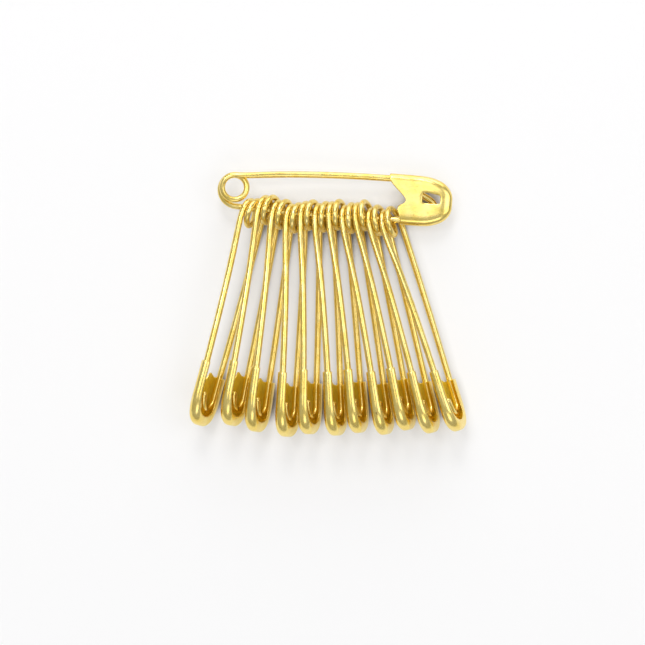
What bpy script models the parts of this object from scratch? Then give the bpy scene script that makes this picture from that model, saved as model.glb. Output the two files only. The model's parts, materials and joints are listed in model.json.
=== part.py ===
"""A bunch of brass safety pins: eleven hang by their spring coils on the back wire of a twelfth.

Every pin is the same: one bent spring wire, split here where its needle leaves the coil, and a
cap of folded sheet. A pin is drawn in its own frame, with the middle of its coil at the origin,
its cap along +X, its needle on the +Y side and the cap's closed plate on the +Z side. The cap is
open on the -Z side. The whole bunch lies on the plane Z = 0.
"""

import math

import bmesh
import bpy
from mathutils import Matrix, Vector

# Driving sizes of one pin, in metres
WIRE_DIAMETER = 0.00104
COIL_RADIUS = 0.00275
TURN_GAP = 0.00041
CAP_REACH = 0.0470
CAP_TOP = 0.0062
CAP_BOTTOM = 0.00525
SHEET = 0.0003
JOINT_GAP = 0.00036

# The wire: its turns, the spread of its last half turn, and its bows
TURNS = 1.5
POINTS_PER_TURN = 10
BACK_DROP = 0.0041
BACK_SEAT = 0.00404
BACK_BOW = 0.0005
NEEDLE_REACH = 0.0415
NEEDLE_TIP_Y = 0.0048
NEEDLE_BOW = 0.0009
NEEDLE_POINT = 0.0036
NEEDLE_POINT_SHARES = ((0.0, 1.0), (0.45, 0.78), (0.8, 0.42), (1.0, 0.14))
NEEDLE_STEPS = 7
BACK_STEPS = 7
LEVEL_POWER = 2.2

# The hook that the back wire ends in, inside the cap
HOOK_PLACE = 0.0407
HOOK_RADIUS = 0.00275
HOOK_SWEEP = math.radians(154)
HOOK_STEPS = 5
HOOK_TAIL = 0.0019

# The cap: its half widths, where its rims start and where its head begins to round off
GUARD_HALF = 0.00122
ROLL_HALF = 0.0015
SWELL_HALF = 0.0018
GUARD_RIM = 0.0330
NOTCH_RIM = 0.0372
EAR_RIM = 0.0352
ROLL_RIM = 0.0361
BODY_START = 0.0390
HEAD_START = 0.0395
SWELL_PLACE = 0.0430
WINDOW_START = 0.0404
WINDOW_END = 0.0442
HEAD_Y = 0.0003
HEAD_POWER = 2.4
RIM_SHARES = (0.0, 0.5, 1.0)
HEAD_RING_SHARES = (0.5, 0.84)
ROLL_LIP_SHARE = 0.16
EAR_SHARE = 0.34
WINDOW_SHARES = (0.447, 0.727)
BOTTOM_ARC_DEGREES = (180, 225, 270, 315, 360)
TOP_ARC_DEGREES = (0, 30, 56, 76, 128, 180)
GUARD_LIP_DEGREES = 76

# The needle's swing: how far it opens, and how steeply it first dips out of the cap's mouth
NEEDLE_OPENING = math.radians(18)
NEEDLE_DIP = math.radians(35)

# The bunch: how the carrier lies and where each hung pin sits on its back wire
CARRIER_TURN = math.radians(-4.9)
FIRST_EYE = 0.0040
LAST_EYE = 0.0339
EYE_SHARES = (0.0, 0.114, 0.212, 0.312, 0.415, 0.515, 0.613, 0.708, 0.803, 0.901, 1.0)
HUNG_PINS = 11
EYE_DROP = 0.0007
EYE_SLACK = 0.0011
SLACK_SHARES = (-0.9, 0.1, -0.5, -0.95, -0.15, -0.3, 0.3, -0.2, 0.5, -0.4, -0.6)
FAN_DEGREES = (-14.6, -10.3, -7.4, -2.9, -0.7, 2.8, 5.1, 8.6, 11.0, 13.9, 17.5)
LEAN_DEGREES = (23.0, 22.0, 20.5, 19.3, 18.6, 17.2, 16.0, 15.5, 16.0, 17.0, 18.5)

# Finishes
BRASS = (0.86, 0.60, 0.17, 1.0)
CAP_BRASS = (0.90, 0.66, 0.22, 1.0)
WIRE_ROUGHNESS = 0.26
CAP_ROUGHNESS = 0.2

# Places worked out from the sizes above
WIRE_RADIUS = WIRE_DIAMETER / 2
TURN_PITCH = WIRE_DIAMETER + TURN_GAP
COIL_RISE = TURN_PITCH * TURNS
NEEDLE_ROOT = WIRE_DIAMETER + JOINT_GAP / 2
PIVOT = Vector((NEEDLE_ROOT, COIL_RADIUS, COIL_RISE))
EYE_MIDDLE = Vector((0, 0, COIL_RISE / 2))


def blank_scene():
    """Remove what the file opens with."""
    for item in list(bpy.data.objects):
        bpy.data.objects.remove(item, do_unlink=True)


def brass(name, colour, roughness):
    """A polished brass."""
    material = bpy.data.materials.new(name)
    material.use_nodes = True
    shader = material.node_tree.nodes["Principled BSDF"]
    shader.inputs["Base Color"].default_value = colour
    shader.inputs["Metallic"].default_value = 1.0
    shader.inputs["Roughness"].default_value = roughness
    return material


def back_y(along):
    """The height of the back wire in its pin, at a distance from the coil."""
    share = min(1.0, max(0.0, along / ROLL_RIM))
    bow = BACK_BOW * 4 * share * (1 - share)
    return -(BACK_DROP + (BACK_SEAT - BACK_DROP) * share + bow)


def needle_place(share):
    """A point of the needle's middle line, from its root at 0 to its tip at 1."""
    along = NEEDLE_ROOT + (NEEDLE_REACH - NEEDLE_ROOT) * share
    height = COIL_RADIUS + (NEEDLE_TIP_Y - COIL_RADIUS) * share
    bow = NEEDLE_BOW * 4 * share * (1 - share)
    return Vector((along, height + bow, COIL_RISE * (1 - share) ** LEVEL_POWER))


def coil_route():
    """The spring coil, from its square end at the needle's root to the start of the back wire."""
    route = [Vector((NEEDLE_ROOT - JOINT_GAP / 2, COIL_RADIUS, COIL_RISE))]
    steps = round(TURNS * POINTS_PER_TURN)
    for step in range(steps + 1):
        share = step / steps
        angle = math.pi / 2 + 2 * math.pi * TURNS * share
        late = max(0.0, 1 - (1 - share) * TURNS * 2)
        radius = COIL_RADIUS + (BACK_DROP - COIL_RADIUS) * late ** 2
        route.append(Vector((radius * math.cos(angle), radius * math.sin(angle), COIL_RISE * (1 - share))))
    return route


def hook_route():
    """The end of the back wire, bent up inside the cap."""
    centre = Vector((HOOK_PLACE, HOOK_RADIUS - BACK_SEAT, 0))
    route = []
    for step in range(HOOK_STEPS + 1):
        angle = HOOK_SWEEP * step / HOOK_STEPS - math.pi / 2
        route.append(centre + HOOK_RADIUS * Vector((math.cos(angle), math.sin(angle), 0)))
    ahead = Vector((-math.sin(angle), math.cos(angle), 0))
    route.append(route[-1] + HOOK_TAIL * ahead)
    return route


def back_wire_route():
    """The fixed wire: coil, back and hook in one run."""
    steps = range(1, BACK_STEPS)
    back = [Vector((HOOK_PLACE * step / BACK_STEPS, back_y(HOOK_PLACE * step / BACK_STEPS), 0)) for step in steps]
    return coil_route() + back + hook_route()


def needle_route():
    """The needle and the share of the wire's radius at each of its points."""
    length = (NEEDLE_REACH - NEEDLE_ROOT)
    shank = 1 - NEEDLE_POINT / length
    first = JOINT_GAP / 2 / length
    route = []
    thickness = []
    for step in range(NEEDLE_STEPS):
        route.append(needle_place(first + (shank - first) * step / NEEDLE_STEPS))
        thickness.append(1.0)
    for place_share, radius_share in NEEDLE_POINT_SHARES:
        route.append(needle_place(shank + (1 - shank) * place_share))
        thickness.append(radius_share)
    return route, thickness


def least_coil_gap():
    """The least clear distance between two turns of the coil, measured on its points."""
    route = coil_route()[1:]
    far = POINTS_PER_TURN // 2
    gaps = []
    for first in range(len(route)):
        for second in range(first + far, len(route)):
            gaps.append((route[first] - route[second]).length - WIRE_DIAMETER)
    return min(gaps)


def wire_data(name, route, thickness, material):
    """A round wire along a route, as curve data with closed ends."""
    data = bpy.data.curves.new(name, "CURVE")
    data.dimensions = "3D"
    data.bevel_depth = WIRE_RADIUS
    data.bevel_resolution = 1
    data.use_fill_caps = True
    spline = data.splines.new("POLY")
    spline.points.add(len(route) - 1)
    for point, place, share in zip(spline.points, route, thickness):
        point.co = (*place, 1.0)
        point.radius = share
    spline.use_smooth = True
    data.materials.append(material)
    return data


def cap_half_lengths(along):
    """The cap's top and bottom lines, and how full its two edges are, at a distance from the coil."""
    head = max(0.0, (along - HEAD_START) / (CAP_REACH - HEAD_START))
    rounding = max(0.0, 1 - head ** HEAD_POWER) ** (1 / HEAD_POWER)
    top = HEAD_Y + (CAP_TOP - HEAD_Y) * rounding
    bottom = HEAD_Y - (CAP_BOTTOM + HEAD_Y) * rounding
    closing = max(0.0, (along - SWELL_PLACE) / (CAP_REACH - SWELL_PLACE))
    fullness = math.sqrt(max(0.0, 1 - closing ** 2))
    swell = min(1.0, max(0.0, (along - HEAD_START) / (SWELL_PLACE - HEAD_START)))
    roll = (ROLL_HALF + (SWELL_HALF - ROLL_HALF) * swell) * fullness
    guard = (GUARD_HALF + (ROLL_HALF - GUARD_HALF) * swell) * fullness
    return top, bottom, guard, roll


def cap_section(along):
    """One closed outline of the cap, as (y, z) pairs that start at the lip of the roll."""
    top, bottom, guard, roll = cap_half_lengths(along)
    roll = min(roll, (top - bottom) / 4)
    guard = min(guard, (top - bottom) / 4)
    low = bottom + roll
    high = top - guard

    def side(share, sign):
        return low + (high - low) * share, sign * (roll + (guard - roll) * share)

    outline = [side(ROLL_LIP_SHARE, -1)]
    for degrees in BOTTOM_ARC_DEGREES:
        angle = math.radians(degrees)
        outline.append((low + roll * math.sin(angle), roll * math.cos(angle)))
    outline += [side(EAR_SHARE, 1), side(WINDOW_SHARES[0], 1), side(WINDOW_SHARES[1], 1)]
    for degrees in TOP_ARC_DEGREES:
        angle = math.radians(degrees)
        outline.append((high + guard * math.sin(angle), guard * math.cos(angle)))
    outline.append(side(WINDOW_SHARES[1], -1))
    return outline


def rim_places():
    """Where the cap's rim lies for each point of its section: lobes, ear and notch."""
    notch_side = (NOTCH_RIM + GUARD_RIM) / 2
    rims = [ROLL_RIM] * (1 + len(BOTTOM_ARC_DEGREES))
    rims += [EAR_RIM, NOTCH_RIM, notch_side]
    rims += [GUARD_RIM] * len(TOP_ARC_DEGREES)
    rims.append(notch_side)
    return rims


def cap_mesh(name, material):
    """The folded cap: rings of its section bridged along it, less its mouth and its window."""
    rims = rim_places()
    window = 1 + len(BOTTOM_ARC_DEGREES) + 1
    guard_lip = window + len(WINDOW_SHARES) + TOP_ARC_DEGREES.index(GUARD_LIP_DEGREES)
    mouth = set(range(guard_lip, len(rims)))
    mesh = bmesh.new()
    rings = []
    for share in RIM_SHARES:
        places = [rim + (BODY_START - rim) * share for rim in rims]
        section = cap_section(BODY_START)
        rings.append([mesh.verts.new((x, y, z)) for x, (y, z) in zip(places, section)])
    head_rings = [WINDOW_END + (CAP_REACH - WINDOW_END) * share for share in HEAD_RING_SHARES]
    window_middle = (WINDOW_START + WINDOW_END) / 2
    for along in [WINDOW_START, window_middle, WINDOW_END] + head_rings:
        rings.append([mesh.verts.new((along, y, z)) for y, z in cap_section(along)])
    window_rings = (len(RIM_SHARES), len(RIM_SHARES) + 1)
    for ring in range(len(rings) - 1):
        for point in range(len(rims)):
            in_mouth = point in mouth and ring <= len(RIM_SHARES)
            in_window = point == window and ring in window_rings
            if in_mouth or in_window:
                continue
            after = (point + 1) % len(rims)
            mesh.faces.new((rings[ring][point], rings[ring][after], rings[ring + 1][after], rings[ring + 1][point]))
    tip = mesh.verts.new((CAP_REACH, HEAD_Y, 0))
    for point in range(len(rims)):
        mesh.faces.new((rings[-1][point], rings[-1][(point + 1) % len(rims)], tip))
    loose = [vert for vert in mesh.verts if not vert.link_faces]
    bmesh.ops.delete(mesh, geom=loose, context="VERTS")
    bmesh.ops.recalc_face_normals(mesh, faces=mesh.faces)
    data = bpy.data.meshes.new(name)
    mesh.to_mesh(data)
    mesh.free()
    data.shade_smooth()
    data.set_sharp_from_angle(angle=math.radians(40))
    data.materials.append(material)
    return data


def needle_swing():
    """The needle's hinge in its pin: a leaning axis, and the turn that opens the needle.

    Turning about it, the tip first dips out of the cap's mouth and then rises level, so that it
    passes under the guard's lip and ends in the pin's own plane.
    """
    closed = (needle_place(1.0) - PIVOT).normalized()
    opened = Matrix.Rotation(NEEDLE_OPENING, 3, "Z") @ closed
    middle = (closed + opened).normalized()
    across = closed.cross(opened).normalized()
    half_chord = math.sin(NEEDLE_OPENING / 2)
    off_needle = math.asin(half_chord / math.sin(NEEDLE_DIP))
    share = math.cos(off_needle) / math.cos(NEEDLE_OPENING / 2)
    axis = middle * share + across * math.sqrt(1 - share ** 2)
    return axis.normalized(), 2 * NEEDLE_DIP


def place_object(name, data, parent, place=None):
    """Link an object under its pin's empty, at a place in that pin's frame."""
    made = bpy.data.objects.new(name, data)
    bpy.context.scene.collection.objects.link(made)
    made.parent = parent
    if place is not None:
        made.location = place
    return made


def make_pin(name, frame, wire_brass, cap_brass):
    """One pin under an empty on its coil's axis: back wire, cap and needle."""
    pin = bpy.data.objects.new(name + "_coil_axis", None)
    pin.empty_display_size = COIL_RADIUS
    bpy.context.scene.collection.objects.link(pin)
    pin.matrix_world = frame
    back = back_wire_route()
    place_object(name + "_back_wire", wire_data(name + "_back_wire", back, [1.0] * len(back), wire_brass), pin)
    cap = place_object(name + "_cap", cap_mesh(name + "_cap", cap_brass), pin)
    wall = cap.modifiers.new("Sheet", "SOLIDIFY")
    wall.thickness = SHEET
    wall.offset = -1
    wall.use_even_offset = True
    route, thickness = needle_route()
    from_pivot = [place - PIVOT for place in route]
    place_object(name + "_needle", wire_data(name + "_needle", from_pivot, thickness, wire_brass), pin, PIVOT)
    return pin


def resting_frame(fan, lean):
    """The axes of a hung pin that stands on its coil and its cap, and its coil's height."""
    along = Vector((math.sin(fan), -math.cos(fan), 0))
    up = Vector((0, 0, 1))
    side = along.cross(up)
    needle_side = up * math.cos(lean) + side * math.sin(lean)
    plate_side = side * math.cos(lean) - up * math.sin(lean)
    coil_drop = BACK_DROP * math.cos(lean) + WIRE_RADIUS
    cap_drop = (CAP_BOTTOM - ROLL_HALF) * math.cos(lean) + ROLL_HALF
    rise = math.asin((cap_drop - coil_drop) / (BODY_START * math.cos(lean)))
    raised_along = along * math.cos(rise) + needle_side * math.sin(rise)
    raised_needle = needle_side * math.cos(rise) - along * math.sin(rise)
    axes = Matrix((raised_along, raised_needle, plate_side)).transposed()
    return axes, coil_drop


def carrier_frame():
    """The carrier lies level, its back wire a little below the middles of the eyes that hold it."""
    middle_lean = math.radians(sum(LEAN_DEGREES) / len(LEAN_DEGREES))
    axes, coil_height = resting_frame(0, middle_lean)
    eye_height = coil_height + (axes @ EYE_MIDDLE).z
    height = Matrix.Translation((0, 0, eye_height - EYE_DROP))
    return height @ Matrix.Rotation(CARRIER_TURN, 4, "Z")


def hung_frame(number, carrier):
    """A hung pin: its eye's middle lies beside the carrier's back wire, and its edge on the ground."""
    along = FIRST_EYE + (LAST_EYE - FIRST_EYE) * EYE_SHARES[number]
    held = carrier @ Vector((along, back_y(along), 0))
    axes, coil_height = resting_frame(math.radians(FAN_DEGREES[number]), math.radians(LEAN_DEGREES[number]))
    middle = axes @ EYE_MIDDLE
    place = Vector((held.x - middle.x, held.y + EYE_SLACK * SLACK_SHARES[number] - middle.y, coil_height))
    return Matrix.Translation(place) @ axes.to_4x4()


def world_points(made):
    """The corners of an object's evaluated mesh, in world space."""
    shown = made.evaluated_get(bpy.context.evaluated_depsgraph_get())
    mesh = shown.to_mesh()
    places = [made.matrix_world @ vert.co for vert in mesh.vertices]
    shown.to_mesh_clear()
    return places


def centre_bunch(pins):
    """Move the bunch so that its box stands on the origin, by the middle of its base."""
    bpy.context.view_layer.update()
    places = [place for pin in pins for made in pin.children for place in world_points(made)]
    low = Vector([min(place[axis] for place in places) for axis in range(3)])
    high = Vector([max(place[axis] for place in places) for axis in range(3)])
    shift = Vector((-(low.x + high.x) / 2, -(low.y + high.y) / 2, -low.z))
    for pin in pins:
        pin.matrix_world = Matrix.Translation(shift) @ pin.matrix_world
    bpy.context.view_layer.update()


def main():
    blank_scene()
    wire_brass = brass("wire_brass", BRASS, WIRE_ROUGHNESS)
    cap_brass = brass("cap_brass", CAP_BRASS, CAP_ROUGHNESS)
    carrier = carrier_frame()
    pins = [make_pin("carrier", carrier, wire_brass, cap_brass)]
    for number in range(HUNG_PINS):
        frame = hung_frame(number, carrier)
        pins.append(make_pin(f"hung_pin_{number + 1:02d}", frame, wire_brass, cap_brass))
    centre_bunch(pins)
    print(f"least gap between turns of a coil: {least_coil_gap():.6f} m, over a wire of {WIRE_DIAMETER:.6f} m")
    return pins


main()
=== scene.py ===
"""A bunch of polished brass safety pins, lying on a white sheet of card."""

import json
import math

import bmesh
import bpy
from mathutils import Matrix, Vector, noise

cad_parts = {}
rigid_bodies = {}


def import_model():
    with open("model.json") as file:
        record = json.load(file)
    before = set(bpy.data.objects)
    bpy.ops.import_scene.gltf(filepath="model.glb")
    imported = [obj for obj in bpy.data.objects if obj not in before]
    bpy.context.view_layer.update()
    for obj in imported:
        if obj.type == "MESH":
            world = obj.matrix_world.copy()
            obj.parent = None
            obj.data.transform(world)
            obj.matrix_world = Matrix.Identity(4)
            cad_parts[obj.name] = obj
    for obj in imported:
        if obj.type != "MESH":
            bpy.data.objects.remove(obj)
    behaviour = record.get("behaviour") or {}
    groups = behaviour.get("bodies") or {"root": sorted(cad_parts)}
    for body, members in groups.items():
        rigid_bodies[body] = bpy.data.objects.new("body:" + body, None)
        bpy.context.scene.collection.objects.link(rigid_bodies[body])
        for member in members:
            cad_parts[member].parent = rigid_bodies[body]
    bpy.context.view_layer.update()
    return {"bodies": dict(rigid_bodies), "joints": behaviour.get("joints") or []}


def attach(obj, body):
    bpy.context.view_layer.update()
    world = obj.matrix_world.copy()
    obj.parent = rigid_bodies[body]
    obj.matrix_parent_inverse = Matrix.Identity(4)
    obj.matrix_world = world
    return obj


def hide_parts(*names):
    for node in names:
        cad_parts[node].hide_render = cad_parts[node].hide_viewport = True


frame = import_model()

# All lengths are in metres. One pin lies in its own frame:
# x runs from the coil to the cap, y towards the needle, z out of the cap's closed plate.

# The needle's hinge: a point on its line, how far the needle opens and how far it dips on the way
HINGE = Vector((0.00122, 0.00275, 0.002175))
NEEDLE_TIP = Vector((0.0415, 0.0048, 0))
OPENING = math.radians(18)
DIP = math.radians(35)

# The wire, drawn from the thinner wire of the coil to its full size
WIRE_RADIUS = 0.0007
COIL_WIRE_RADIUS = 0.00064
THICKEN_START = 0.002
THICKEN_LENGTH = 0.006
WIRE_SIDES = 16
ROUND_END = (0.35, 0.65, 0.87, 0.98)

# The spring coil
COIL_RADIUS = 0.00263
TURN_PITCH = 0.0014
TURNS = 1.5
COIL_RISE = TURN_PITCH * TURNS

# The back wire: how far below the coil's middle it starts and ends, and its sag between
BACK_DROP = 0.00395
BACK_SEAT = 0.0039
BACK_BOW = 0.00046
BACK_END = 0.0359

# The needle: its bow, how soon it is level with the cap, and how it eases off the coil
NEEDLE_BOW = 0.00068
LEVEL_POWER = 2.2
ROOT_EASE = Vector((0, -0.118, 0.18))
ROOT_POWER = 12
SHANK_SHARE = 0.91
GROUND_POINT = ((0.93, 0.96), (0.95, 0.84), (0.97, 0.64), (0.985, 0.42), (0.995, 0.2), (1.0, 0.06))

# The hook that ends the wire inside the cap
HOOK_PLACE = 0.0407
HOOK_RADIUS = 0.0026
HOOK_SWEEP = math.radians(154)
HOOK_TAIL = 0.0019
TAIL_PLACES = (0.4, 0.8, 0.92, 0.98, 1.0)

# The cap's size: how far it reaches, its top and bottom edge, and half the width of its folds
CAP_REACH = 0.0470
CAP_TOP = 0.00595
CAP_BOTTOM = 0.005
SHEET = 0.0003
GUARD_HALF = 0.00122
ROLL_HALF = 0.0015
SWELL_HALF = 0.0016
FOLDS_IN_HEIGHT = 3.6

# Where along the pin the cap's rims lie, where its folds swell and close, and where its window is
GUARD_RIM = 0.0330
SHOULDER_RIMS = (0.0349, 0.0336)
NOTCH_RIM = 0.0376
EAR_RIM = 0.0352
ROLL_RIM = 0.0359
LIP_RIM = 0.0345
BODY_START = 0.0390
HEAD_START = 0.0395
SWELL_PLACE = 0.0430
CLOSE_PLACE = 0.0440
WINDOW_START = 0.0404
WINDOW_MIDDLE = (0.0416, 0.0427)
WINDOW_END = 0.0442

# Where the cap's head comes to its end, how square it is, and how full its folds are
HEAD_Y = 0.0003
HEAD_POWER = 2.4
ARC_FULLNESS = 1.03

# The cap's dents: how deep, how close together, and how far apart two caps' dents are taken
DENT = 0.00004
DENTS_PER_METRE = 230
NEXT_CAP = 5.3
NEXT_WAY = 17.0

# The cap's section, from the lip of its roll round to its mouth: shares of its height, and degrees
ROLL_LIP = (0.2, 0.08)
ROLL_ARC = (180, 215, 250, 290, 325, 360)
WINDOW_LOW = 0.447
WINDOW_HIGH = 0.727
PLATE = (0.16, 0.32, WINDOW_LOW, WINDOW_HIGH, 0.88)
GUARD_ARC = (0, 35, 70, 102, 132, 158)
MOUTH_SIDE = (1.0, 0.7, 0.42)

# The brasses: light and deep colour, how far the drawn lines are stretched along and across the
# piece, the least and the greatest roughness, and how metallic it is
DRAWN_WIRE = ((0.93, 0.74, 0.27, 1), (0.88, 0.66, 0.17, 1), (180, 9000, 9000), 0.16, 0.28, 1.0)
STAMPED_SHEET = ((0.97, 0.77, 0.26, 1), (0.93, 0.7, 0.18, 1), (900, 6000, 6000), 0.18, 0.29, 1.0)
# The cap's inside is duller brass, and its colour is also lightened and made less metallic to paint
# the light that bounces about inside the cap
DULL_INSIDE_PAINTED_BOUNCE = ((1.0, 0.8, 0.08, 1), (1.0, 0.74, 0.05, 1), (900, 6000, 6000), 0.26, 0.4, 0.3)
CLOUDS_PER_METRE = 420
CLOUD_EDGES = (0.38, 0.60)
TARNISH = (0.36, 0.22, 0.06, 1)
SPECKS_PER_METRE = 1500
SPECK_EDGES = (0.66, 0.78)
SPECK_STRENGTH = 0.7
LINE_EDGES = (0.3, 0.7)
LINE_STRENGTH = 0.1
LINE_DEPTH = 0.00002

# The card: how far the bunch's soft shadow and its close shadow reach, and its colours
CARD_HALF = 3.0
CARD_DROP = 0.00002
CARD_ROUGHNESS = 0.7
SHADOW_REACH = 0.008
SHADOW_EDGES = (0.22, 0.5)
CLOSE_REACH = 0.0022
SHADOW_TONE = (0.12, 0.09, 0.06, 1)
CARD_TONE = (0.93, 0.925, 0.93, 1)
GLOW_TONE = (0.97, 0.97, 0.97, 1)
GLOW_SHARE = 0.45

# The walls round the card: how pale they are from the floor up
WALL_TONES = ((0.05, (0.42, 0.41, 0.4, 1)), (0.3, (0.42, 0.42, 0.42, 1)),
              (0.6, (0.5, 0.5, 0.5, 1)), (0.9, (0.48, 0.48, 0.48, 1)))

# The lamps: place, width, height and power; all of them aim at the bunch
LAMPS = {
    "overhead_softbox": ((-0.22, 0.24, 1.2), 0.6, 0.6, 1.6),
    "near_lamp": ((-0.42, 0.3, 1.0), 0.18, 0.18, 1.1),
    "far_window": ((-0.1, 0.75, 0.8), 0.32, 0.32, 2.8),
    "front_fill": ((0.15, -0.7, 0.85), 0.6, 0.4, 1.1),
    "low_window": ((0.1, 1.1, 0.35), 1.4, 0.6, 5.0),
    "side_fill": ((0.65, 0.1, 0.85), 0.6, 0.6, 1.7),
}

# The photograph's frame: its width, and how far its middle lies from the bunch's
VIEW_WIDTH = 0.139
VIEW_MIDDLE = Vector((-0.0012, -0.0039))
CAMERA_HEIGHT = 1.0


def share_between(value, start, end):
    """How far a value has come from start to end, from 0 to 1."""
    return min(1.0, max(0.0, (value - start) / (end - start)))


# Routes of the wire

def bowed(share):
    """A bow's height at a share of its length: 0 at both ends, 1 in the middle."""
    return 4 * share * (1 - share)


def back_y(along):
    share = share_between(along, 0, BACK_END)
    return -(BACK_DROP + (BACK_SEAT - BACK_DROP) * share + BACK_BOW * bowed(share))


def needle_place(share):
    """A point of the needle's middle line, from its root on the coil (0) to its tip (1)."""
    root = Vector((0.0, COIL_RADIUS, 0))
    above_root = COIL_RISE * (1 - share) ** LEVEL_POWER
    off_coil = NEEDLE_TIP.x * share * (1 - share) ** ROOT_POWER
    bow = Vector((0, NEEDLE_BOW * bowed(share), above_root))
    return root.lerp(NEEDLE_TIP, share) + bow + off_coil * ROOT_EASE


def coil_route(steps=60):
    """The coil's turns, which widen over the last half turn to meet the back wire."""
    route = []
    for step in range(steps + 1):
        share = step / steps
        angle = math.pi / 2 + 2 * math.pi * TURNS * share
        widening = max(0.0, 1 - (1 - share) * TURNS * 2)
        radius = COIL_RADIUS + (BACK_DROP - COIL_RADIUS) * widening ** 2
        rise = COIL_RISE * (1 - share)
        route.append(Vector((radius * math.cos(angle), radius * math.sin(angle), rise)))
    return route


def back_route(steps=26):
    """The back wire between the coil and the hook."""
    places = [HOOK_PLACE * step / steps for step in range(1, steps)]
    return [Vector((along, back_y(along), 0)) for along in places]


def hook_route(steps=14):
    """The bend at the end of the wire, and its short straight tail."""
    centre = Vector((HOOK_PLACE, HOOK_RADIUS - BACK_SEAT, 0))
    angles = [HOOK_SWEEP * step / steps - math.pi / 2 for step in range(steps + 1)]
    route = [centre + HOOK_RADIUS * Vector((math.cos(a), math.sin(a), 0)) for a in angles]
    ahead = Vector((-math.sin(angles[-1]), math.cos(angles[-1]), 0))
    return route + [route[-1] + HOOK_TAIL * share * ahead for share in TAIL_PLACES]


def wire_size(along):
    """The wire's radius, a little thinner near the coil than in the cap."""
    share = min(1.0, max(0.0, (along - THICKEN_START) / THICKEN_LENGTH))
    return COIL_WIRE_RADIUS + (WIRE_RADIUS - COIL_WIRE_RADIUS) * share


def wire_steps(route, radii):
    """A turned place for the wire's ring at each point of its route, and how far along it lies."""
    ahead = (route[1] - route[0]).normalized()
    turn = ahead.to_track_quat("Z", "Y")
    steps = []
    length = 0.0
    for number, point in enumerate(route):
        before = route[max(number - 1, 0)]
        after = route[min(number + 1, len(route) - 1)]
        heading = (after - before).normalized()
        turn = (turn @ Vector((0, 0, 1))).rotation_difference(heading) @ turn
        length += (point - before).length
        turned = Matrix.Translation(point) @ turn.to_matrix().to_4x4()
        steps.append((turned @ Matrix.Scale(radii[number], 4), length))
    return steps


def extruded(mesh, edges):
    """Extrude a ring of edges once, and give its new points and edges."""
    made = bmesh.ops.extrude_edge_only(mesh, edges=edges)["geom"]
    verts = [item for item in made if isinstance(item, bmesh.types.BMVert)]
    edges = [item for item in made if isinstance(item, bmesh.types.BMEdge)]
    return verts, edges


def draw_wire(mesh, route, radii, sides=WIRE_SIDES):
    """Draw a round wire along a route: one ring of edges, extruded from point to point."""
    laid = mesh.verts.layers.float_vector.new("laid_out")
    steps = wire_steps(route, radii)
    ring = bmesh.ops.create_circle(mesh, segments=sides, radius=1.0, matrix=steps[0][0])["verts"]
    edges = [edge for edge in mesh.edges if edge.verts[0] in ring]
    first_edges = edges
    around = [2 * math.pi * number / sides for number in range(sides)]
    for vert, angle in zip(ring, around):
        vert[laid] = (0, WIRE_RADIUS * math.cos(angle), WIRE_RADIUS * math.sin(angle))
    for (before, _), (after, length) in zip(steps, steps[1:]):
        verts, edges = extruded(mesh, edges)
        bmesh.ops.transform(mesh, matrix=after @ before.inverted(), verts=verts)
        for vert in verts:
            vert[laid] = (length, vert[laid][1], vert[laid][2])
    bmesh.ops.contextual_create(mesh, geom=first_edges)
    bmesh.ops.contextual_create(mesh, geom=edges)
    bmesh.ops.recalc_face_normals(mesh, faces=mesh.faces)


def round_end(last, inner, radius):
    """The points and radii that close the wire past its last point, in a half ball."""
    ahead = (last - inner).normalized() * radius
    places = [last + ahead * share for share in ROUND_END]
    return places, [radius * math.sqrt(1 - share ** 2) for share in ROUND_END]


def rounded(route, radii, end=True):
    """The route and its radii, with a rounded start, and a rounded end if asked for."""
    places, sizes = round_end(route[0], route[1], radii[0])
    after, after_sizes = round_end(route[-1], route[-2], radii[-1]) if end else ([], [])
    return places[::-1] + route + after, sizes[::-1] + radii + after_sizes


def draw_spring_wire(mesh):
    """The coil, the back wire and its hook, in one length of wire."""
    coil = coil_route()
    straight = back_route() + hook_route()
    radii = [COIL_WIRE_RADIUS] * len(coil) + [wire_size(place.x) for place in straight]
    route, radii = rounded(coil + straight, radii)
    draw_wire(mesh, route, radii)


def draw_needle(mesh, steps=30):
    """The needle, its point ground to a long taper."""
    shank = [needle_place(SHANK_SHARE * step / steps) for step in range(steps + 1)]
    route, radii = rounded(shank, [wire_size(place.x) for place in shank], end=False)
    for share, size in GROUND_POINT:
        route.append(needle_place(share))
        radii.append(WIRE_RADIUS * size)
    draw_wire(mesh, route, radii)


# The cap

def head_round(share):
    """How full the cap's head still is at a share of its length, on a soft squared curve."""
    return (1 - share ** HEAD_POWER) ** (1 / HEAD_POWER)


def fold_arc(middle, radius, arc):
    """The points of a fold round a middle height, at the angles of its arc."""
    angles = [math.radians(degrees) for degrees in arc]
    full = radius * ARC_FULLNESS
    return [(middle + full * math.sin(angle), radius * math.cos(angle)) for angle in angles]


def cap_outline(along):
    """The cap's section at a distance from the coil, as (y, z) pairs from its roll to its mouth."""
    rounding = head_round(share_between(along, HEAD_START, CAP_REACH))
    top = HEAD_Y + (CAP_TOP - HEAD_Y) * rounding
    bottom = HEAD_Y - (CAP_BOTTOM + HEAD_Y) * rounding
    fullness = head_round(share_between(along, CLOSE_PLACE, CAP_REACH))
    swell = share_between(along, HEAD_START, SWELL_PLACE)
    widest = (top - bottom) / FOLDS_IN_HEIGHT
    roll = min((ROLL_HALF + (SWELL_HALF - ROLL_HALF) * swell) * fullness, widest)
    guard = min((GUARD_HALF + (ROLL_HALF - GUARD_HALF) * swell) * fullness, widest)
    low = bottom + roll
    high = top - guard

    def side(share, sign):
        return low + (high - low) * share, sign * (roll + (guard - roll) * share)

    outline = [side(share, -1) for share in ROLL_LIP]
    outline += fold_arc(low, roll, ROLL_ARC)
    outline += [side(share, 1) for share in PLATE]
    outline += fold_arc(high, guard, GUARD_ARC)
    outline += [side(share, -1) for share in MOUTH_SIDE]
    return outline


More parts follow.
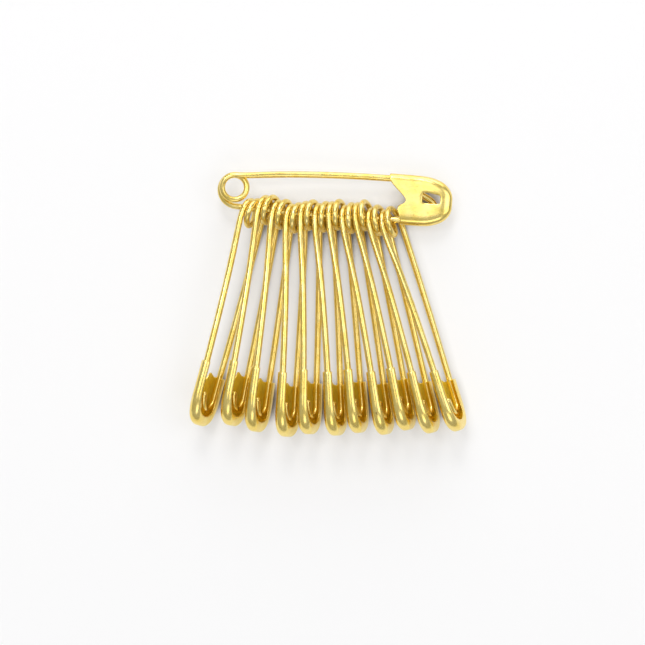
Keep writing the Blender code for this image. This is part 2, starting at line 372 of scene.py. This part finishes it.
# Columns run round the cap's section and rows run along it, from its rims to its head
ROLL_COLUMNS = len(ROLL_LIP) + len(ROLL_ARC)
GUARD_END = ROLL_COLUMNS + len(PLATE) + len(GUARD_ARC) - 1
RIMS = [ROLL_RIM] * ROLL_COLUMNS + [EAR_RIM, EAR_RIM, NOTCH_RIM, *SHOULDER_RIMS]
RIMS += [GUARD_RIM] * (len(GUARD_ARC) + 1) + [LIP_RIM, ROLL_RIM]
RIM_ROWS = (0.0, 0.12, 0.5, 1.0)
HEAD_ROWS = (0.3, 0.58, 0.8, 0.94)

# The mouth runs from the rims to the row where the window ends, and closes there in a round
OPEN_ROWS = len(RIM_ROWS) + 1 + len(WINDOW_MIDDLE)
MOUTH_COLUMNS = tuple(range(GUARD_END, len(RIMS)))
MOUTH_ENDS = dict(zip((*MOUTH_COLUMNS, 0), (0.0429, 0.0442, 0.0447, 0.0445, 0.0435)))
WINDOW_COLUMN = ROLL_COLUMNS + PLATE.index(WINDOW_LOW)


def cap_rows():
    """For each row of the cap, how far along the pin each of its columns lies."""
    rows = [[rim + (BODY_START - rim) * share for rim in RIMS] for share in RIM_ROWS]
    level = [WINDOW_START, *WINDOW_MIDDLE, WINDOW_END]
    level += [WINDOW_END + (CAP_REACH - WINDOW_END) * share for share in HEAD_ROWS]
    rows += [[along] * len(RIMS) for along in level]
    for column, along in MOUTH_ENDS.items():
        rows[OPEN_ROWS][column] = along
    return rows


def open_columns(row):
    """The columns of a row that the cap leaves open, for its mouth and its window."""
    mouth = MOUTH_COLUMNS if row < OPEN_ROWS else ()
    window = (WINDOW_COLUMN,) if len(RIM_ROWS) <= row < OPEN_ROWS else ()
    return mouth + window


def draw_cap(mesh):
    """The cap before its sheet has a thickness: a ring extruded along it, less mouth and window."""
    laid = mesh.verts.layers.float_vector.new("laid_out")
    column = mesh.verts.layers.int.new("column")
    count = len(RIMS)
    ring = bmesh.ops.create_circle(mesh, segments=count, radius=ROLL_HALF)["verts"]
    for number, vert in enumerate(ring):
        vert[column] = number
    verts = list(mesh.verts)
    edges = list(mesh.edges)
    rows = []
    for number, places in enumerate(cap_rows()):
        if number:
            verts, edges = extruded(mesh, edges)
        for vert in verts:
            along = places[vert[column]]
            y, z = cap_outline(max(along, BODY_START))[vert[column]]
            vert.co = (along, y, z)
            vert[laid] = vert.co
        rows.append({vert[column]: vert for vert in verts})
    tip = bmesh.ops.contextual_create(mesh, geom=edges)["faces"]
    bmesh.ops.poke(mesh, faces=tip)
    unwanted = []
    for number, (row, following) in enumerate(zip(rows, rows[1:])):
        for place in open_columns(number):
            after = (place + 1) % count
            corners = {row[place], row[after], following[place], following[after]}
            unwanted += [face for face in row[place].link_faces if set(face.verts) == corners]
    bmesh.ops.delete(mesh, geom=unwanted, context="FACES")
    bmesh.ops.recalc_face_normals(mesh, faces=mesh.faces)


# Finishes

def node(tree, kind, values=(), **settings):
    """A new node with its settings, and with the values of its sockets as (socket, value) pairs."""
    made = tree.nodes.new(kind)
    for name, value in settings.items():
        setattr(made, name, value)
    for socket, value in values:
        made.inputs[socket].default_value = value
    return made


def noise_node(tree, scale, detail):
    return node(tree, "ShaderNodeTexNoise", [("Scale", scale), ("Detail", detail)])


def ramp(tree, stops):
    """A colour ramp with its stops, each a position and a colour."""
    made = node(tree, "ShaderNodeValToRGB")
    elements = made.color_ramp.elements
    for element, (position, colour) in zip(elements, (stops[0], stops[-1])):
        element.position = position
        element.color = colour
    for position, colour in stops[1:-1]:
        elements.new(position).color = colour
    return made


def map_range(tree, edges, reached=(0.0, 1.0), **settings):
    """Map a range of values, given by its edges, on to another."""
    values = [("From Min", edges[0]), ("From Max", edges[1]),
              ("To Min", reached[0]), ("To Max", reached[1])]
    return node(tree, "ShaderNodeMapRange", values, **settings)


def new_material(name):
    """A new material, its node tree and its shader."""
    material = bpy.data.materials.new(name)
    material.use_nodes = True
    return material, material.node_tree, material.node_tree.nodes["Principled BSDF"]


def brass(name, light, deep, lines, low_rough, high_rough, metal):
    """Polished brass with drawn lines along it, faint clouds of colour and a few darker specks."""
    material, tree, shader = new_material(name)
    link = tree.links.new
    shader.inputs["Metallic"].default_value = metal
    place = node(tree, "ShaderNodeTexCoord")
    laid = node(tree, "ShaderNodeAttribute", attribute_name="laid_out")

    clouds = noise_node(tree, CLOUDS_PER_METRE, 4)
    link(place.outputs["Object"], clouds.inputs["Vector"])
    shade = ramp(tree, list(zip(CLOUD_EDGES, (deep, light))))
    link(clouds.outputs["Fac"], shade.inputs["Fac"])

    specks = noise_node(tree, SPECKS_PER_METRE, 3)
    link(place.outputs["Object"], specks.inputs["Vector"])
    where = map_range(tree, SPECK_EDGES, (0.0, SPECK_STRENGTH))
    link(specks.outputs["Fac"], where.inputs["Value"])
    stain = node(tree, "ShaderNodeMix", data_type="RGBA")
    stain.inputs["B"].default_value = TARNISH
    link(where.outputs["Result"], stain.inputs["Factor"])
    link(shade.outputs["Color"], stain.inputs["A"])
    link(stain.outputs["Result"], shader.inputs["Base Color"])

    stretch = node(tree, "ShaderNodeMapping", [("Scale", lines)])
    link(laid.outputs["Vector"], stretch.inputs["Vector"])
    drawn = noise_node(tree, 1.0, 3)
    link(stretch.outputs["Vector"], drawn.inputs["Vector"])
    rough = map_range(tree, LINE_EDGES, (low_rough, high_rough))
    link(drawn.outputs["Fac"], rough.inputs["Value"])
    link(rough.outputs["Result"], shader.inputs["Roughness"])
    bump = node(tree, "ShaderNodeBump", [("Strength", LINE_STRENGTH), ("Distance", LINE_DEPTH)])
    link(drawn.outputs["Fac"], bump.inputs["Height"])
    link(bump.outputs["Normal"], shader.inputs["Normal"])
    return material


# The bunch

def needle_axis():
    """The needle's hinge line in its pin's frame, as its joint has it."""
    closed = (NEEDLE_TIP - HINGE).normalized()
    opened = Matrix.Rotation(OPENING, 3, "Z") @ closed
    middle = (closed + opened).normalized()
    across = closed.cross(opened).normalized()
    off_needle = math.asin(math.sin(OPENING / 2) / math.sin(DIP))
    share = math.cos(off_needle) / math.cos(OPENING / 2)
    return (middle * share + across * math.sqrt(1 - share ** 2)).normalized()


def triad(axis, plate):
    """Three square axes from a hinge line and the way that the closed plate faces."""
    level = (axis - plate * axis.dot(plate)).normalized()
    return Matrix((level, plate.cross(level), plate)).transposed()


def pin_place(name):
    """Where a pin lies, from the joints of its needle and its coil. The carrier's coil has none."""
    joints = {joint["name"]: joint for joint in frame["joints"]}
    hinge = joints[name + "_needle_hinge"]
    swing = joints.get(name + "_swing")
    up = Vector((0, 0, 1))
    plate = Vector(swing["axis"]).normalized() if swing else up
    found = triad(Vector(hinge["axis"]).normalized(), plate)
    turn = found @ triad(needle_axis(), up).inverted()
    return Matrix.Translation(Vector(hinge["pos_m"]) - turn @ HINGE) @ turn.to_4x4()


def piece(name, mesh, material, body, node_name):
    """Put a finished mesh in the scene in place of its node, riding on its body."""
    data = bpy.data.meshes.new(name)
    mesh.to_mesh(data)
    data.shade_smooth()
    data.materials.append(material)
    made = bpy.data.objects.new(name, data)
    bpy.context.scene.collection.objects.link(made)
    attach(made, body)
    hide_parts(node_name)
    return made


def settle(mesh):
    """Put the edges and faces in one fixed order, so that every run gives the same mesh."""
    mesh.verts.index_update()
    count = len(mesh.verts)

    def order(part):
        numbers = [vert.index for vert in part.verts]
        return sum(numbers) * count + min(numbers)

    for parts in (mesh.edges, mesh.faces):
        parts.sort(key=order)
        parts.index_update()


def dent(mesh, number):
    """Dent a cap a little, in its own way."""
    for vert in mesh.verts:
        place = vert.co * DENTS_PER_METRE + Vector((number * NEXT_CAP, 0, 0))
        push = [noise.noise(place + Vector((0, 0, NEXT_WAY * way))) for way in range(3)]
        vert.co += DENT * Vector(push)


def thicken_cap(cap, inside_brass_painted_bounce):
    """Give the cap's sheet its thickness, a dull inside whose colour is lightened as painted bounce
    light, and soft rims.
    """
    cap.data.materials.append(inside_brass_painted_bounce)
    sheet = cap.modifiers.new("Sheet", "SOLIDIFY")
    sheet.material_offset = 1
    sheet.thickness = SHEET
    sheet.offset = -1
    sheet.use_even_offset = True
    sheet.edge_crease_rim = 0.75
    soft = cap.modifiers.new("Soft", "SUBSURF")
    soft.levels = 2
    soft.render_levels = 2


def lay_pin(name, number, drawn, wire_brass, cap_brass, inside_brass_painted_bounce):
    """One pin: its spring wire, its needle and its cap, moved to where the pin lies."""
    place = pin_place(name)
    kinds = (("back_wire", "spring_wire", wire_brass, "wire", name),
             ("needle", "pointed_needle", wire_brass, "wire", name + "_needle"),
             ("cap", "folded_cap", cap_brass, "cap", name))
    for node_end, piece_end, material, slot, body in kinds:
        mesh = drawn[node_end].copy()
        if node_end == "cap":
            dent(mesh, number)
        bmesh.ops.transform(mesh, matrix=place, verts=mesh.verts)
        made = piece(f"{name}_{piece_end}", mesh, material, body, f"{name}_{node_end}")
        mesh.free()
        if node_end == "cap":
            thicken_cap(made, inside_brass_painted_bounce)


def lay_bunch():
    """Draw one wire, one needle and one cap, and lay a copy of each for every pin."""
    wire_brass = brass("drawn_brass_wire", *DRAWN_WIRE)
    cap_brass = brass("stamped_brass_sheet", *STAMPED_SHEET)
    # The cap's inside: dull brass, lightened in colour as painted bounce light
    inside_brass_painted_bounce = brass("dull_brass_inside_painted_bounce", *DULL_INSIDE_PAINTED_BOUNCE)
    drawn = {}
    for kind, draw in (("back_wire", draw_spring_wire), ("needle", draw_needle), ("cap", draw_cap)):
        drawn[kind] = bmesh.new()
        draw(drawn[kind])
        settle(drawn[kind])
    names = sorted(body for body in frame["bodies"] if not body.endswith("_needle"))
    for number, name in enumerate(names):
        lay_pin(name, number, drawn, wire_brass, cap_brass, inside_brass_painted_bounce)
    for mesh in drawn.values():
        mesh.free()


# The table, the light and the camera

def card_white():
    """White card that shows nearly plain white in the open and keeps the bunch's shadow."""
    material, tree, shader = new_material("white_card")
    link = tree.links.new
    shader.inputs["Roughness"].default_value = CARD_ROUGHNESS

    open_sky = node(tree, "ShaderNodeAmbientOcclusion", [("Distance", SHADOW_REACH)])
    spread = map_range(tree, SHADOW_EDGES, interpolation_type="SMOOTHSTEP")
    link(open_sky.outputs["AO"], spread.inputs["Value"])

    close_by = node(tree, "ShaderNodeAmbientOcclusion", [("Distance", CLOSE_REACH)])
    clear = node(tree, "ShaderNodeMath", operation="MULTIPLY")
    link(close_by.outputs["AO"], clear.inputs[0])
    link(spread.outputs["Result"], clear.inputs[1])
    shade = node(tree, "ShaderNodeMix", data_type="RGBA")
    shade.inputs["A"].default_value = SHADOW_TONE
    shade.inputs["B"].default_value = CARD_TONE
    path = node(tree, "ShaderNodeLightPath")
    unseen = node(tree, "ShaderNodeMath", [(0, 1.0)], operation="SUBTRACT")
    link(path.outputs["Is Camera Ray"], unseen.inputs[1])
    pale = node(tree, "ShaderNodeMath", operation="MAXIMUM")
    link(clear.outputs["Value"], pale.inputs[0])
    link(unseen.outputs["Value"], pale.inputs[1])
    link(pale.outputs["Value"], shade.inputs["Factor"])
    link(shade.outputs["Result"], shader.inputs["Base Color"])

    either = node(tree, "ShaderNodeMath", operation="MAXIMUM")
    link(path.outputs["Is Camera Ray"], either.inputs[0])
    link(path.outputs["Is Glossy Ray"], either.inputs[1])
    part_of = node(tree, "ShaderNodeMath", [(1, GLOW_SHARE)], operation="MULTIPLY")
    link(either.outputs["Value"], part_of.inputs[0])
    in_open = node(tree, "ShaderNodeMath", operation="MULTIPLY")
    link(part_of.outputs["Value"], in_open.inputs[0])
    link(spread.outputs["Result"], in_open.inputs[1])
    glow = node(tree, "ShaderNodeEmission", [("Color", GLOW_TONE), ("Strength", 1.0)])
    mix = node(tree, "ShaderNodeMixShader")
    link(in_open.outputs["Value"], mix.inputs["Fac"])
    link(shader.outputs["BSDF"], mix.inputs[1])
    link(glow.outputs["Emission"], mix.inputs[2])
    link(mix.outputs["Shader"], tree.nodes["Material Output"].inputs["Surface"])
    return material


def lay_card():
    """The card under the bunch, a hair below the plane that the bunch lies on."""
    mesh = bmesh.new()
    bmesh.ops.create_grid(mesh, x_segments=1, y_segments=1, size=CARD_HALF)
    bmesh.ops.translate(mesh, vec=(0, 0, -CARD_DROP), verts=mesh.verts)
    data = bpy.data.meshes.new("white_card")
    mesh.to_mesh(data)
    mesh.free()
    card = bpy.data.objects.new("white_card", data)
    bpy.context.scene.collection.objects.link(card)
    data.materials.append(card_white())


def lamp(name, place, width, height, power):
    """A flat lamp that aims at the middle of the bunch."""
    data = bpy.data.lights.new(name, "AREA")
    data.shape = "RECTANGLE"
    data.size = width
    data.size_y = height
    data.energy = power
    made = bpy.data.objects.new(name, data)
    bpy.context.scene.collection.objects.link(made)
    made.location = place
    made.rotation_euler = (-Vector(place)).to_track_quat("-Z", "Y").to_euler()


def light_card():
    """Pale grey walls all round, a little lighter overhead, and the lamps."""
    world = bpy.data.worlds.new("studio")
    bpy.context.scene.world = world
    world.use_nodes = True
    tree = world.node_tree
    link = tree.links.new
    place = node(tree, "ShaderNodeTexCoord")
    split = node(tree, "ShaderNodeSeparateXYZ")
    link(place.outputs["Generated"], split.inputs["Vector"])
    walls = ramp(tree, WALL_TONES)
    link(split.outputs["Z"], walls.inputs["Fac"])
    link(walls.outputs["Color"], tree.nodes["Background"].inputs["Color"])
    tree.nodes["Background"].inputs["Strength"].default_value = 1.0
    for name, (place, width, height, power) in LAMPS.items():
        lamp(name, place, width, height, power)


def set_camera():
    """A camera straight above the card, with the photograph's frame."""
    data = bpy.data.cameras.new("camera")
    data.sensor_width = 36
    data.lens = data.sensor_width * CAMERA_HEIGHT / VIEW_WIDTH
    data.clip_end = 10
    made = bpy.data.objects.new("camera", data)
    bpy.context.scene.collection.objects.link(made)
    made.location = (VIEW_MIDDLE.x, VIEW_MIDDLE.y, CAMERA_HEIGHT)
    bpy.context.scene.camera = made


bpy.context.scene.view_settings.view_transform = "Standard"
lay_bunch()
lay_card()
light_card()
set_camera()
